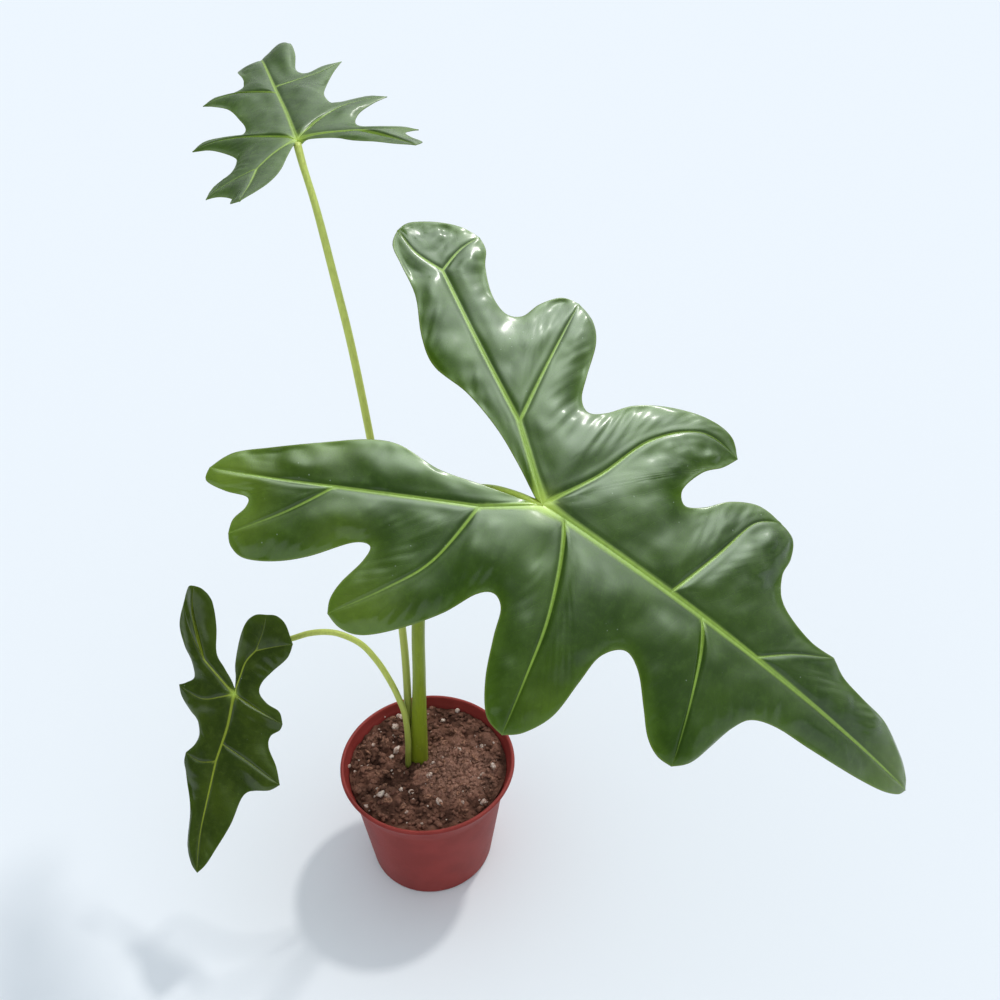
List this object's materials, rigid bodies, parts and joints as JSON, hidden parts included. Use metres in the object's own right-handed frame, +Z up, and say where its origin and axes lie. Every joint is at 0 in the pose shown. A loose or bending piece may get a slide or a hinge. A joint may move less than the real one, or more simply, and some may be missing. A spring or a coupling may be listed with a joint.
{
  "type": "potted alocasia plant",
  "caption": "Young alocasia portei house plant: three deeply lobed arrow-shaped leaves on long stalks in a small red nursery pot filled with potting mix.",
  "frame": {"origin": "centre of the pot's flat underside", "axes": "+Z up through the pot's axis; the big leaf's tip hangs towards +X and -Y, the side the picture is taken from"},
  "size_m": [0.3717, 0.3022, 0.4467],
  "materials": {
    "red_plastic": "brick-red moulded plastic with a dull satin sheen",
    "peat_mix": "dark, crumbly peat and bark with white perlite",
    "root_skin": "rough brown root skin",
    "stalk_green": "smooth, moist yellow-green stalk",
    "stalk_pale": "smooth pale yellow-green stalk",
    "leaf_green": "glossy dark green blade with yellow-green veins and edges",
    "leaf_dark": "very dark green satin blade with green veins"
  },
  "bodies": {
    "root": {"pot": "red_plastic", "potting_mix": "peat_mix", "rhizome": "root_skin", "petiole_main": "stalk_green", "petiole_tall": "stalk_pale", "petiole_low": "stalk_pale", "leaf_main": "leaf_green", "leaf_tall": "leaf_green", "leaf_low": "leaf_dark"}
  },
  "joints": []
}
